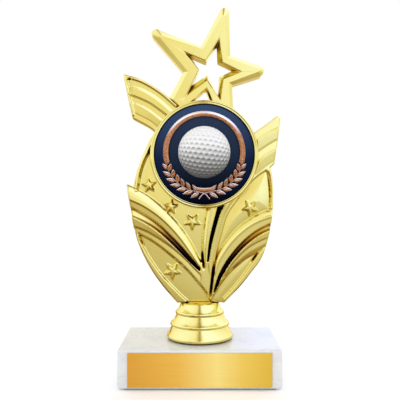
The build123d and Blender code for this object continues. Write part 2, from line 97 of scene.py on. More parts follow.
L0 = [
    (-38.4, 100.4), (-34.3, 98.6), (-27.6, 94.9), (-20.3, 89.2), (-12.5, 81.1), (-5.7, 71.8), (-1.0, 62.9),
    (2.1, 57.2),
]
L1 = [
    (-37.4, 93.2), (-30.7, 90.2), (-25.5, 87.1), (-20.3, 83.2), (-15.1, 78.3), (-9.9, 72.3), (-4.7, 65.0),
    (-0.5, 58.8),
]
L2 = [
    (-36.8, 89.2), (-30.7, 85.8), (-25.5, 82.7), (-20.3, 78.8), (-15.1, 73.8), (-9.9, 68.4), (-4.7, 62.4),
    (0.0, 56.9),
]
L3 = [
    (-35.8, 84.2), (-30.7, 81.7), (-25.5, 78.8), (-20.3, 74.9), (-15.1, 70.2), (-9.9, 65.0), (-4.7, 59.8),
    (0.0, 55.6),
]
L4 = [
    (-34.6, 78.7), (-28.1, 76.2), (-22.9, 73.3), (-17.7, 69.9), (-12.5, 66.0), (-7.3, 61.4), (-2.1, 55.9),
    (0.5, 53.2),
]
L5 = [
    (-32.0, 74.9), (-25.5, 71.5), (-20.3, 67.9), (-15.1, 63.7), (-9.9, 59.3), (-4.7, 54.1), (0.5, 48.1),
    (3.1, 44.7), (4.6, 41.0),
]
C_LEFT = [(4.9, 90.6), (3.1, 85.3), (2.1, 78.5), (1.4, 69.7), (1.5, 62.9), (2.3, 56.9)]
C_MID = [(6.2, 90.6), (4.6, 82.5), (3.4, 72.3), (2.9, 66.0), (2.8, 60.5), (2.8, 57.6)]
G1_LEFT = [(9.6, 90.6), (8.1, 84.3), (6.8, 79.1), (5.5, 73.3), (4.6, 67.1), (4.0, 60.8)]
G1_RIGHT = [(12.8, 90.6), (10.1, 84.3), (8.6, 79.1), (7.0, 73.3), (5.6, 67.1), (4.4, 60.4)]
R1 = [(14.6, 91.4), (10.9, 83.7), (8.8, 76.5), (7.3, 69.7), (6.2, 61.9), (5.5, 51.5), (5.4, 42.6)]
R1B = [
    (22.9, 97.8), (15.1, 87.9), (12.2, 80.6), (10.1, 73.8), (8.6, 67.1), (7.2, 60.3), (6.2, 51.5),
    (5.8, 42.6),
]
R2_TOP = [
    (38.0, 87.6), (32.8, 86.1), (26.5, 82.7), (21.3, 79.1), (16.1, 73.6), (12.0, 68.1), (8.8, 61.9),
    (7.0, 53.6), (6.1, 46.0), (5.5, 40.6),
]
R2_MID = [
    (38.0, 84.2), (31.7, 82.2), (26.5, 79.6), (21.3, 75.7), (16.1, 70.5), (12.5, 65.5), (9.4, 59.8),
    (7.5, 52.5), (6.3, 45.5), (5.7, 40.6),
]
G3_UP = [
    (37.6, 80.6), (31.7, 77.8), (26.5, 74.4), (21.3, 69.7), (17.2, 65.0), (13.5, 59.8), (10.4, 54.1),
    (8.4, 48.5), (7.4, 44.4),
]
G3_LOW = [
    (36.9, 77.1), (31.7, 74.6), (27.6, 71.8), (22.9, 67.9), (18.7, 63.4), (15.1, 58.8), (12.0, 53.6),
    (9.4, 48.2), (7.7, 43.9),
]
R3_MID = [
    (36.0, 73.0), (31.7, 71.2), (26.5, 68.4), (21.3, 64.0), (16.6, 58.5), (13.0, 53.0), (9.7, 47.2),
    (7.2, 43.0), (5.9, 40.4),
]
R3_LOW = [
    (33.9, 67.6), (29.1, 64.6), (23.9, 61.6), (19.8, 58.2), (16.1, 54.9), (12.5, 50.7), (9.4, 46.3),
    (7.2, 42.4), (5.8, 39.9),
]
L5_UPPER = L5[:-2]
STEM = [
    (-3.2, 56.4), (-0.6, 59.6), (2.4, 60.4), (4.0, 64.5), (6.6, 64.0), (6.5, 56.0), (5.9, 48.0), (5.4, 40.4),
    (4.6, 41.2), (3.1, 44.7), (0.5, 48.1),
]
RIM_UPPER_LEFT = [(-23.9, 123.2), (-28.9, 113.9), (-31.2, 107.0), (-32.3, 100.9), (-33.0, 97.0)]
RIM_LOWER_LEFT = [
    (-6.4, 39.8), (-9.9, 42.9), (-15.1, 48.1), (-20.3, 53.8), (-27.1, 63.7), (-29.7, 68.6), (-31.6, 74.4),
]
RIM_UPPER_RIGHT = [(34.6, 107.9), (35.6, 106.8), (36.6, 101.0), (37.0, 93.5), (36.4, 85.6)]
RIM_LOWER_RIGHT = [(29.8, 63.8), (25.6, 57.3), (21.3, 51.5), (16.8, 46.0), (12.7, 41.6), (9.8, 38.2)]
FIELD_RIGHT_EDGE = [
    (34.6, 107.9), (30.7, 105.3), (26.5, 101.4), (20.4, 93.6), (14.5, 85.0), (10.9, 73.3), (8.9, 66.0),
    (7.9, 60.0),
]

# The fields lie below the rim. Each is a closed run of curves, a height at the edge and a swelling.
FIELDS = [
    ([RIM_UPPER_LEFT, L0[1:], C_LEFT[::-1], [(4.9, 90.6), (-8.0, 98.0), (-22.0, 118.0)]], 2.9, 0.0),
    ([L5, [(5.6, 39.9), (8.5, 41.5), (12.0, 41.5), (11.0, 37.5), (-9.0, 37.5)], RIM_LOWER_LEFT], 2.9, 0.0),
    ([RIM_UPPER_RIGHT, R2_TOP, FIELD_RIGHT_EDGE[::-1]], 2.8, 0.8),
    ([R3_LOW, RIM_LOWER_RIGHT[::-1]], 2.9, 0.3),
]

# Strips of the relief: two curves that run from the panel's edge to its root, and the cross-section from
# the first curve to the second, as (share of the way, height) at the edge and at the root.
STRIPS = [
    (L0, L1, [(0, 3.4), (0.35, 4.7), (0.7, 5.1), (1, 5.25)], [(0, 4.4), (0.5, 5.0), (1, 5.2)]),
    (L1, L2, [(0, 5.25), (0.15, 4.95), (1, 4.8)], [(0, 5.2), (0.2, 5.0), (1, 5.0)]),
    (L2, L3, [(0, 4.8), (0.10, 2.9), (0.90, 3.1), (1, 4.9)], [(0, 5.0), (0.10, 0.5), (0.90, 0.5), (1, 5.0)]),
    (L3, L4, [(0, 5.1), (0.94, 4.7), (1, 4.2)], [(0, 5.1), (0.9, 4.9), (1, 4.9)]),
    (L4, L5_UPPER, [(0, 4.2), (0.9, 4.2), (1, 3.2)], [(0, 4.8), (0.85, 5.0), (1, 4.7)]),
    (C_LEFT, C_MID, [(0, 3.2), (0.4, 4.6), (0.55, 4.4), (1, 5.2)], [(0, 3.2), (0.4, 4.6), (1, 5.2)]),
    (C_MID, G1_LEFT, [(0, 5.2), (0.5, 4.9), (1, 5.2)], [(0, 5.2), (1, 5.2)]),
    (G1_LEFT, G1_RIGHT, [(0, 5.2), (0.5, 1.6), (0.85, 1.0), (1, 5.2)],
     [(0, 5.2), (0.2, 0.8), (0.8, 0.8), (1, 5.2)]),
    (R1, R1B, [(0, 4.9), (0.3, 5.0), (1, 3.8)], [(0, 5.0), (0.3, 5.0), (1, 4.8)]),
    (G1_RIGHT, R1[:-1], [(0, 5.2), (0.5, 5.5), (1, 5.0)], [(0, 5.1), (0.5, 5.2), (1, 5.0)]),
    (R2_TOP, R2_MID, [(0, 3.4), (0.25, 4.5), (0.8, 4.7), (1, 5.4)], [(0, 3.8), (0.3, 4.6), (1, 5.2)]),
    (R2_MID, G3_UP, [(0, 5.4), (0.25, 4.9), (1, 4.8)], [(0, 5.2), (0.25, 4.9), (1, 4.9)]),
    (G3_UP, G3_LOW, [(0, 4.8), (0.12, 2.6), (0.88, 2.8), (1, 4.8)],
     [(0, 4.9), (0.12, 0.5), (0.88, 0.5), (1, 5.0)]),
    (G3_LOW, R3_MID, [(0, 5.0), (0.94, 4.6), (1, 4.2)], [(0, 5.0), (0.9, 4.7), (1, 4.3)]),
    (R3_MID, R3_LOW, [(0, 4.2), (0.5, 4.1), (1, 3.2)], [(0, 4.2), (0.5, 4.1), (1, 3.0)]),
]

# Beads along curves, with half a width and a height; a negative height is a sunk line.
BEADS = [
    ([(-39.0, 157.0), (-30.7, 154.6), (-20.6, 148.7), (-12.2, 141.5)], 0.6, 0.45),
    ([(-39.1, 156.2), (-37.2, 147.5), (-34.7, 136.6)], 0.7, 0.9),
    ([(-37.6, 156.2), (-36.9, 152.6), (-36.0, 148.5), (-36.2, 145.3)], 0.45, -0.8),
    ([(-37.6, 156.2), (-36.0, 155.6)], 0.6, -1.6),
    (RIM_UPPER_LEFT, 0.8, 0.7),
    (RIM_UPPER_RIGHT, 0.5, -0.9),
    ([(-26.6, 117.2), (-25.6, 119.3), (-24.2, 121.6)], 0.8, -2.2),
    ([(1.3, 66.0), (1.6, 61.4), (2.25, 56.0)], 0.42, -2.4),
    ([(7.6, 60.5), (6.9, 55.0), (6.2, 49.0), (5.6, 44.0), (5.2, 39.4)], 0.45, -2.8),
    ([(-32.0, 75.4), (-31.0, 71.8), (-29.2, 68.0)], 0.42, -1.3),
    ([(7.0, 57.6), (7.3, 54.6), (7.3, 51.6)], 0.4, -0.8),
    ([(30.5, 65.0), (28.8, 62.6), (26.4, 59.6)], 0.42, -1.3),
]

# Feathers on the wings: an upper and a lower curve, and the cross-section between them.
FEATHERS = [
    ([(-37.6, 153.9), (-30.7, 151.1), (-25.5, 148.3), (-20.3, 144.6), (-13.6, 138.6)],
     [(-36.8, 147.7), (-30.7, 145.4), (-25.5, 142.8), (-20.3, 139.1), (-16.8, 136.5)],
     [(0, 4.2), (0.28, 4.9), (1, 4.8)]),
    ([(-36.5, 144.0), (-30.7, 141.7), (-25.5, 138.6), (-20.3, 134.5), (-19.6, 133.9)],
     [(-35.2, 138.6), (-30.7, 136.5), (-25.5, 133.7), (-23.0, 131.7), (-21.9, 130.8)],
     [(0, 4.4), (0.05, 4.7), (1, 4.3)]),
    ([(30.0, 123.6), (34.3, 126.6), (38.0, 128.8), (41.4, 130.3)],
     [(30.0, 117.7), (34.3, 120.7), (38.0, 123.0), (40.8, 124.5)],
     [(0, 4.6), (0.06, 4.9), (1, 4.5)]),
    ([(31.0, 112.7), (34.3, 116.0), (36.9, 117.6), (40.0, 119.1)],
     [(28.9, 105.9), (34.3, 110.3), (36.9, 112.1), (39.3, 113.6)],
     [(0, 4.4), (0.06, 4.7), (1, 4.3)]),
]

# Small stars in relief: centre x, centre z, radius and the angle of the first tip.
SMALL_STARS = [
    (-26.5, 100.2, 4.1, 96.0), (-15.1, 89.0, 4.1, 84.0), (-3.9, 81.2, 4.7, 270.0),
    (-14.3, 55.4, 4.7, 272.0), (26.3, 88.5, 4.7, 265.0),
]

# The star frame: its front edge and its widest outline, vertex by vertex, with the radii of its three long
# tips by vertex number, and then the front edge and the waist of its opening.
STAR_FACE = [
    (13.0, 190.9), (14.3, 166.7), (32.8, 160.2), (15.3, 153.7), (15.8, 136.5), (9.8, 137.0), (3.8, 151.4),
    (-7.2, 141.6), (-8.6, 139.6), (-13.8, 144.9), (-6.2, 159.4), (-22.3, 179.1), (1.6, 171.1),
]
STAR_SIDE = [
    (15.1, 200.0), (15.9, 168.0), (39.6, 159.9), (16.9, 152.7), (17.5, 136.0), (8.4, 137.0), (3.2, 150.2),
    (-8.2, 140.4), (-9.6, 138.4), (-15.9, 145.9), (-8.6, 159.4), (-31.2, 185.5), (0.7, 172.7),
]
STAR_TIPS = {0: 2.4, 2: 2.8, 11: 2.4}
OPENING_FACE = [
    (10.1, 176.6), (3.1, 164.9), (-8.1, 169.6), (-0.3, 160.5), (-7.5, 146.4),
    (3.9, 155.5), (10.9, 144.2), (12.0, 155.8), (21.3, 159.4), (11.7, 164.1),
]
OPENING_WAIST = [
    (8.9, 173.2), (3.7, 165.6), (-5.1, 168.6), (-0.2, 161.3), (-4.7, 152.8),
    (4.0, 158.6), (9.7, 147.6), (10.1, 157.6), (17.0, 160.7), (9.3, 164.2),
]

FOOT_PROFILE = [
    (15.8, 0.0), (16.7, 0.4), (17.2, 1.0), (17.35, 1.7), (17.2, 2.3), (16.7, 2.6), (14.75, 7.0),
    (15.25, 7.25), (15.55, 7.7), (15.5, 8.3), (15.1, 8.7), (14.4, 8.9), (12.15, 13.0),
    (12.6, 13.25), (12.85, 13.7), (12.8, 14.3), (12.4, 14.7), (11.8, 14.9), (10.1, 18.3), (9.8, 18.8),
    (9.3, 19.0),
]


# ---------------------------------------------------------------- curves and meshes
def curve(points, count=300):
    """Samples along a centripetal spline through the points, or along a line where there are two."""
    p = np.array(points, float)
    if len(p) == 2:
        return p[0] + (p[1] - p[0]) * np.linspace(0, 1, count)[:, None]
    knots = np.concatenate([[0], np.cumsum(np.sqrt(np.linalg.norm(np.diff(p, axis=0), axis=1)))])
    p = np.vstack([2 * p[0] - p[1], p, 2 * p[-1] - p[-2]])
    knots = np.concatenate([[-knots[1]], knots, [2 * knots[-1] - knots[-2]]])
    u = np.linspace(knots[1], knots[-2], count)
    i = np.clip(np.searchsorted(knots, u, side="right") - 1, 1, len(knots) - 3)
    k0, k1, k2, k3 = (knots[i + j][:, None] for j in (-1, 0, 1, 2))
    p0, p1, p2, p3 = (p[i + j] for j in (-1, 0, 1, 2))
    u = u[:, None]
    a1 = p0 + (p1 - p0) * (u - k0) / (k1 - k0)
    a2 = p1 + (p2 - p1) * (u - k1) / (k2 - k1)
    a3 = p2 + (p3 - p2) * (u - k2) / (k3 - k2)
    b1 = a1 + (a2 - a1) * (u - k0) / (k2 - k0)
    b2 = a2 + (a3 - a2) * (u - k1) / (k3 - k1)
    return b1 + (b2 - b1) * (u - k1) / (k2 - k1)


def evenly(points, step):
    """The same run of samples, about step apart."""
    p = np.array(points, float)
    lengths = np.concatenate([[0], np.cumsum(np.linalg.norm(np.diff(p, axis=0), axis=1))])
    s = np.linspace(0, lengths[-1], max(2, round(lengths[-1] / step) + 1))
    return np.stack([np.interp(s, lengths, p[:, k]) for k in (0, 1)], 1)


def closed(curves):
    """A polygon made of smooth curves joined end to end."""
    runs = [curve(c) if len(c) > 2 else np.array(c, float) for c in curves]
    p = np.vstack(runs + [runs[0][:1]])
    return evenly(p[np.append(True, np.linalg.norm(np.diff(p, axis=0), axis=1) > 1e-6)], OUTLINE_STEP)[:-1]


def cornered(points):
    """The same for a polygon with straight sides."""
    return evenly(points + points[:1], OUTLINE_STEP)[:-1]


def inside(points, polygon):
    """Which of the points lie in the polygon."""
    x, z = points[:, 0], points[:, 1]
    result = np.zeros(len(points), bool)
    for (x0, z0), (x1, z1) in zip(polygon, np.roll(polygon, -1, axis=0)):
        if z0 != z1:
            result ^= ((z0 > z) != (z1 > z)) & (x < x0 + (x1 - x0) * (z - z0) / (z1 - z0))
    return result


def edge_distance(points, starts, ends):
    """The distance from each point to the nearest of the segments."""
    nearest = np.full(len(points), 1e9)
    for a, b in zip(starts, ends):
        along = b - a
        t = np.clip(((points - a) @ along) / max(along @ along, 1e-12), 0, 1)
        nearest = np.minimum(nearest, np.linalg.norm(points - a - t[:, None] * along, axis=1))
    return nearest


def make(name, points, faces, material, slot, nodes, angle=35.0, hollow=None):
    """A piece of the trophy from points in millimetres, riding on the root body and replacing CAD nodes."""
    mesh = bpy.data.meshes.new(name)
    mesh.from_pydata((np.array(points, float) * MM).tolist(), [], faces)
    mesh.validate()
    work = bmesh.new()
    work.from_mesh(mesh)
    bmesh.ops.recalc_face_normals(work, faces=work.faces)
    work.to_mesh(mesh)
    work.free()
    mesh.polygons.foreach_set("use_smooth", [True] * len(mesh.polygons))
    mesh.set_sharp_from_angle(angle=radians(angle))
    mesh.materials.append(material)
    if hollow is not None:
        mesh.attributes.new("hollow", "FLOAT", "POINT").data.foreach_set("value", hollow)
    piece = bpy.data.objects.new(name, mesh)
    bpy.context.scene.collection.objects.link(piece)
    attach(piece, "root")
    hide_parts(*nodes)
    return piece


def soften(piece, width):
    """Rounds a piece's sharp edges by width millimetres."""
    bevel = piece.modifiers.new("soft_edges", "BEVEL")
    bevel.width, bevel.segments = width * MM, 3
    bevel.limit_method, bevel.angle_limit = "ANGLE", radians(25)
    bevel.harden_normals = True


def join(*parts):
    """Several (points, faces) as one."""
    points, faces = [], []
    for p, f in parts:
        faces += [[i + len(points) for i in face] for face in f]
        points += [tuple(q) for q in p]
    return points, faces


def loft(rings, cap=True, endless=False):
    """A skin over closed rings of equally many points, with a face at each end or joined end to end."""
    count = len(rings[0])
    points = np.concatenate(rings)
    faces = []
    for r in range(len(rings) if endless else len(rings) - 1):
        a, b = r * count, ((r + 1) % len(rings)) * count
        faces += [[a + i, a + (i + 1) % count, b + (i + 1) % count, b + i] for i in range(count)]
    if cap and not endless:
        faces += [list(range(count))[::-1], list(range(len(points) - count, len(points)))]
    return points, faces


def lathe(profile, centre, axis, turns):
    """A closed profile of (radius, height) turned round an axis: "z" upwards or "y" towards the viewer."""
    a = np.arange(turns) * 2 * pi / turns
    rings = []
    for r, h in profile:
        x, v = centre[0] + max(r, 1e-3) * np.cos(a), max(r, 1e-3) * np.sin(a)
        if axis == "z":
            rings.append(np.stack([x, centre[1] + v, np.full(turns, h)], 1))
        else:
            rings.append(np.stack([x, np.full(turns, -h), centre[1] + v], 1))
    return loft(rings, endless=True)


# ---------------------------------------------------------------- materials
class Nodes:
    """Short calls for a material's or the world's node tree."""

    def __init__(self, tree):
        self.tree = tree
        tree.nodes.clear()

    def add(self, kind, inputs=None, **settings):
        node = self.tree.nodes.new("ShaderNode" + kind)
        for key, value in settings.items():
            setattr(node, key, value)
        for key, value in (inputs or {}).items():
            if isinstance(value, bpy.types.NodeSocket):
                self.tree.links.new(value, node.inputs[key])
            else:
                node.inputs[key].default_value = value
        return node

    def math(self, operation, a, b=0.0):
        return self.add("Math", {0: a, 1: b}, operation=operation).outputs[0]

    def scaled(self, value, factor, offset=0.5):
        return self.add("Math", {0: value, 1: factor, 2: offset}, operation="MULTIPLY_ADD").outputs[0]

    def ramp(self, value, stops):
        """A linear ramp from (place, colour or grey) stops."""
        node = self.add("ValToRGB", {"Fac": value})
        elements = node.color_ramp.elements
        while len(elements) < len(stops):
            elements.new(0.5)
        for element, (place, colour) in zip(elements, stops):
            element.position = place
            element.color = (*colour, 1) if isinstance(colour, tuple) else (colour, colour, colour, 1)
        return node.outputs["Color"]

    def mix(self, share, a, b, mode="MIX"):
        node = self.add("Mix", data_type="RGBA", blend_type=mode)
        for socket, value in ((node.inputs[0], share), (node.inputs[6], a), (node.inputs[7], b)):
            if isinstance(value, bpy.types.NodeSocket):
                self.tree.links.new(value, socket)
            else:
                socket.default_value = (*value, 1) if isinstance(value, tuple) else value
        return node.outputs[2]

    def times(self, a, b):
        return self.mix(1.0, a, b, "MULTIPLY")

    def noise(self, place, scale, detail=3.0):
        return self.add("TexNoise", {"Vector": place, "Scale": scale, "Detail": detail}).outputs["Fac"]

    def split(self, vector):
        return self.add("SeparateXYZ", {"Vector": vector}).outputs

    def upward(self):
        """How far the surface faces up, from -1 to 1."""
        return self.split(self.add("NewGeometry").outputs["Normal"])["Z"]

    def openness(self, distance, samples=8):
        """How much of the surroundings within a distance in millimetres is open."""
        return self.add("AmbientOcclusion", {"Distance": distance * MM}, samples=samples).outputs["AO"]

    def position(self, stretch=(1, 1, 1), turn=(0, 0, 0)):
        place = self.add("TexCoord").outputs["Object"]
        return self.add("Mapping", {"Vector": place, "Scale": stretch, "Rotation": turn}).outputs[0]


def material(name, colour, roughness, bump, depth, **surface):
    """A principled material.

    The colour is a function of its Nodes, the roughness too or a number, and the bump too or the scale
    of a noise. The bump's depth is in millimetres.
    """
    result = bpy.data.materials.new(name)
    result.use_nodes = True
    n = Nodes(result.node_tree)
    height = bump(n) if callable(bump) else n.noise(n.position(), bump)
    inputs = {
        "Base Color": colour(n),
        "Roughness": roughness(n) if callable(roughness) else roughness,
        "Normal": n.add("Bump", {"Height": height, "Strength": 1.0, "Distance": depth * MM}).outputs[0],
    }
    inputs.update({key.replace("_", " "): value for key, value in surface.items()})
    shader = n.add("BsdfPrincipled", inputs)
    n.add("OutputMaterial", {"Surface": shader.outputs[0]})
    return result


def uneven(scale, low, high, detail=3.0):
    """A function of Nodes: a noise that varies between two greys or colours."""
    return lambda n: n.ramp(n.noise(n.position(), scale, detail), [(0.3, low), (0.7, high)])


def gold_colour(n):
    """Pale plated gold, slightly uneven, with painted shade that turns it brown to nearly black in corners
    and in deep grooves.
    """
    tone = uneven(60.0, (0.80, 0.715, 0.245), (0.83, 0.75, 0.275), 2.0)(n)
    # Painted shade: brown to nearly black where little of the surroundings is open, in corners and creases.
    shade = n.ramp(n.openness(3.0, 12), [
        (0.12, (0.03, 0.008, 0.002)), (0.34, (0.46, 0.25, 0.07)), (0.48, (0.90, 0.74, 0.42)), (0.58, 1.0)])
    # Painted shade: brown to black where the relief lies below its surroundings, in the grooves.
    painted_groove_shade = n.ramp(n.math("MULTIPLY", n.add("Attribute", attribute_name="hollow").outputs["Fac"], 0.5), [
        (0.28, 1.0), (0.45, (0.62, 0.42, 0.17)), (0.62, (0.20, 0.09, 0.025)), (0.85, (0.01, 0.004, 0.002))])
    return n.times(n.times(tone, shade), painted_groove_shade)


gold = material(
    "plated_gold", gold_colour, uneven(220.0, 0.16, 0.19, 4.0), bump=900.0, depth=0.004,
    Metallic=1.0, Specular_Tint=(1.0, 0.86, 0.50, 1.0), Coat_Weight=0.15, Coat_Roughness=0.1,
)


def veins(n):
    """White marble with faint grey veins of two sizes and a soft cloudiness."""
    place = n.position((1, 1, 1.6), (0.3, 0.5, 0.4))
    wander = n.add("TexNoise", {"Vector": place, "Scale": 28.0, "Detail": 5.0}).outputs["Color"]
    bent = n.mix(0.06, place, wander, "LINEAR_LIGHT")
    colour = n.ramp(n.noise(place, 16.0), [(0.3, (0.77, 0.785, 0.81)), (0.7, (0.88, 0.89, 0.90))])
    for scale, stops in (
        (22.0, [(0.46, 1.0), (0.5, 0.92), (0.51, 0.92), (0.55, 1.0)]),
        (60.0, [(0.48, 1.0), (0.5, 0.965), (0.52, 1.0)]),
    ):
        vein = n.add("TexNoise", {"Vector": bent, "Scale": scale, "Detail": 6.0, "Roughness": 0.6})
        colour = n.times(colour, n.ramp(vein.outputs["Fac"], stops))
    return colour


marble = material(
    "white_marble", veins, uneven(90.0, 0.12, 0.2), bump=500.0, depth=0.004,
    Subsurface_Weight=0.15, Subsurface_Radius=(0.004, 0.004, 0.004), Subsurface_Scale=0.3,
)


def brushing(n, detail=2.0):
    """Fine lines along the plate."""
    return n.noise(n.position((40, 1, 2600)), 1.0, detail)


def plate_colour(n):
    """Satin gold with a painted highlight that makes it lighter right of the middle, and fine brushing along
    the plate.
    """
    # Painted highlight: a lighter band right of the middle, darker towards both ends.
    tone = n.ramp(n.scaled(n.split(n.position())["X"], 1 / (PLATE_WIDTH * MM)), [
        (0.0, (0.76, 0.36, 0.025)), (0.35, (0.88, 0.50, 0.062)), (0.62, (1.0, 0.78, 0.23)),
        (0.8, (0.90, 0.61, 0.09)), (1.0, (0.80, 0.50, 0.035)),
    ])
    return n.times(tone, n.ramp(brushing(n), [(0.3, 0.93), (0.7, 1.0)]))


plate_gold = material(
    "satin_plate", plate_colour, lambda n: n.ramp(brushing(n, 3.0), [(0.3, 0.3), (0.7, 0.42)]),
    bump=brushing, depth=0.003,
)


def navy_colour(n):
    """Navy that gets darker towards the bottom as painted shade, darker inside the ring, and with painted
    shade in the corners next to the collar, the ring, the leaves and the ball.
    """
    axes = n.split(n.position())
    rise = n.math("DIVIDE", n.math("SUBTRACT", axes["Z"], disc_low[2] * MM), 2 * DISC_RADIUS * MM)
    # Painted shade: both navies darken towards the bottom.
    outer = n.ramp(rise, [
        (0.0, (0.0, 0.0015, 0.010)), (0.45, (0.007, 0.016, 0.055)), (1.0, (0.044, 0.082, 0.185))])
    inner = n.ramp(rise, [
        (0.12, (0.0, 0.0, 0.003)), (0.45, (0.014, 0.025, 0.055)), (0.9, (0.026, 0.045, 0.095))])
    across = n.math("POWER", n.math("SUBTRACT", axes["X"], DISC_X * MM), 2.0)
    along = n.math("POWER", n.math("SUBTRACT", axes["Z"], MOTIF_Z * MM), 2.0)
    reach = n.math("SQRT", n.math("ADD", across, along))
    tone = n.mix(n.math("LESS_THAN", reach, INNER_NAVY * MM), outer, inner)
    # Painted shade where little of the surroundings is open.
    shade = n.ramp(n.openness(2.0), [(0.22, 0.05), (0.62, 1.0)])
    return n.times(n.times(tone, uneven(1500.0, 0.88, 1.0)(n)), shade)


navy = material("navy_satin", navy_colour, 0.42, bump=1400.0, depth=0.004, Specular_IOR_Level=0.015)


def bronze_colour(n):
    """Copper bronze with fine streaks, with a painted highlight that turns it nearly white where it faces
    up, and painted shade that darkens it in the hollows.
    """
    streaks = n.noise(n.position((1, 1, 3)), 700.0, 4.0)
    tone = n.ramp(streaks, [(0.3, (0.30, 0.125, 0.055)), (0.7, (0.64, 0.30, 0.15))])
    # Painted highlight: nearly white where the surface faces up.
    tone = n.mix(n.ramp(n.upward(), [(0.22, 0.0), (0.40, 1.0)]), tone, (1.0, 0.97, 0.93))
    # Painted shade where little of the surroundings is open.
    return n.times(tone, n.ramp(n.openness(1.2), [(0.15, (0.10, 0.05, 0.04)), (0.65, 1.0)]))


bronze = material(
    "copper_bronze", bronze_colour, uneven(900.0, 0.30, 0.45), bump=1600.0, depth=0.01, Metallic=0.85)


def ball_colour(n):
    """Painted light: white where it faces up and grey where it faces down, so that the dimples read, and
    painted shade that darkens it towards the bottom.
    """
    # Painted highlight and shade by the direction the surface faces.
    tone = n.ramp(n.scaled(n.upward(), 0.5), [
        (0.05, 0.16), (0.30, 0.30), (0.48, 0.64), (0.60, 0.90), (0.80, 0.95)])
    z = n.split(n.position())["Z"]
    # Painted shade: darker towards the bottom of the ball.
    rise = n.math("DIVIDE", n.math("SUBTRACT", z, ball_low[2] * MM), 2 * BALL_RADIUS * MM)
    tone = n.times(tone, n.ramp(rise, [(0.0, 0.40), (0.25, 0.62), (0.6, 1.0)]))
    return n.times(tone, uneven(400.0, 0.96, 1.0)(n))


ball_white = material("ball_white", ball_colour, uneven(900.0, 0.25, 0.38), bump=2000.0, depth=0.003)
steel = material(
    "zinc_steel", uneven(500.0, (0.45, 0.46, 0.48), (0.62, 0.62, 0.62), 5.0), uneven(700.0, 0.25, 0.42),
    bump=1800.0, depth=0.008, Metallic=1.0,
)
felt = material(
    "green_felt", uneven(1400.0, (0.006, 0.035, 0.014), (0.018, 0.085, 0.035), 8.0), 0.95,
    bump=2200.0, depth=0.15, Sheen_Weight=0.6,
)
tape = material(
    "foam_tape", uneven(1800.0, (0.62, 0.61, 0.55), (0.80, 0.79, 0.74), 6.0), 0.8, bump=2400.0, depth=0.06)

# ---------------------------------------------------------------- the figure's relief as a height map
CELL, MAP_LEFT, MAP_BOTTOM, MAP_COLUMNS, MAP_ROWS = 0.15, -44.0, 34.0, 600, 860
WING_GROUND, PANEL_RIM, STEM_TOP, SWELLING_REACH, BLUR, HOLLOW_BLUR = 4.2, 4.2, 5.0, 7.0, 0.22, 1.3
GROOVE_FADE, STAR_INNER, STAR_SIDE_WIDTH, STAR_LIFT, STAR_CROWN = 0.35, 0.42, 0.3, 1.9, 0.15
GRID, GRID_X, GRID_Z, OUTLINE_ROUND, HUB_RADIUS, HUB_CLEAR = 0.27, (-40, 43), (38, 159), 0.8, 27.4, 26.5

heights = np.full((MAP_ROWS, MAP_COLUMNS), WING_GROUND)
map_x, map_z = np.meshgrid(MAP_LEFT + CELL * np.arange(MAP_COLUMNS), MAP_BOTTOM + CELL * np.arange(MAP_ROWS))
map_points = np.stack([map_x.ravel(), map_z.ravel()], 1)


def cells(points):
    """Row and column of the map under each point."""
    column = np.clip(np.rint((points[..., 0] - MAP_LEFT) / CELL).astype(int), 0, MAP_COLUMNS - 1)
    return np.clip(np.rint((points[..., 1] - MAP_BOTTOM) / CELL).astype(int), 0, MAP_ROWS - 1), column


def fill(polygon, height, swelling=0.0):
    """Sets the height inside a polygon, optionally rising by the swelling towards its middle."""
    low, high = polygon.min(0), polygon.max(0)
    near = np.flatnonzero(np.all((map_points > low) & (map_points < high), axis=1))
    near = near[inside(map_points[near], polygon)]
    heights.ravel()[near] = height
    if swelling:
        coarse = polygon[::4]
        depth = edge_distance(map_points[near], coarse, np.roll(coarse, -1, axis=0))
        heights.ravel()[near] += swelling * (1 - (1 - np.clip(depth / SWELLING_REACH, 0, 1)) ** 2)


def strip(first, second, start, end):
    """Sets the heights between two curves from cross-sections at their two ends."""
    along, across = np.linspace(0, 1, 1000)[:, None], np.linspace(0, 1, 160)
    a, b = curve(first, 1000)[:, None], curve(second, 1000)[:, None]
    points = a + (b - a) * across[None, :, None]
    sections = [np.interp(across, *zip(*section)) for section in (start, end)]
    heights[cells(points)] = sections[0] * (1 - along) + sections[1] * along


def bead(run, width, height):
    """Adds a rounded bead along a curve or, for a negative height, sinks a groove that fades at its ends."""
    samples = curve(run, 1000)
    tangent = np.gradient(samples, axis=0)
    normal = np.stack([-tangent[:, 1], tangent[:, 0]], 1) / np.linalg.norm(tangent, axis=1)[:, None]
    across = np.linspace(-1, 1, 41)
    added = np.zeros_like(heights)
    points = samples[:, None] + normal[:, None] * across[None, :, None] * width
    along = np.linspace(0, 1, len(samples))
    fade = np.clip(np.minimum(along, 1 - along) / GROOVE_FADE, 0, 1) if height < 0 else np.ones(len(samples))
    np.maximum.at(added, cells(points), fade[:, None] * np.sqrt(1 - across**2))
    heights[:] += height * added


def small_star(x, z, radius, angle):
    """Raises a five-pointed star with steep sides and a nearly flat top."""
    reaches = np.array([radius, radius * STAR_INNER] * 5)
    angles = np.radians(angle + 36 * np.arange(10))
    polygon = np.stack([x + reaches * np.cos(angles), z + reaches * np.sin(angles)], 1)
    near = np.flatnonzero(np.linalg.norm(map_points - (x, z), axis=1) < radius)
    near = near[inside(map_points[near], polygon)]
    depth = edge_distance(map_points[near], polygon, np.roll(polygon, -1, axis=0))
    side, crown = np.clip(depth / STAR_SIDE_WIDTH, 0, 1), np.clip(depth - STAR_SIDE_WIDTH, 0, 1)
    heights.ravel()[near] += side * STAR_LIFT + crown * STAR_CROWN


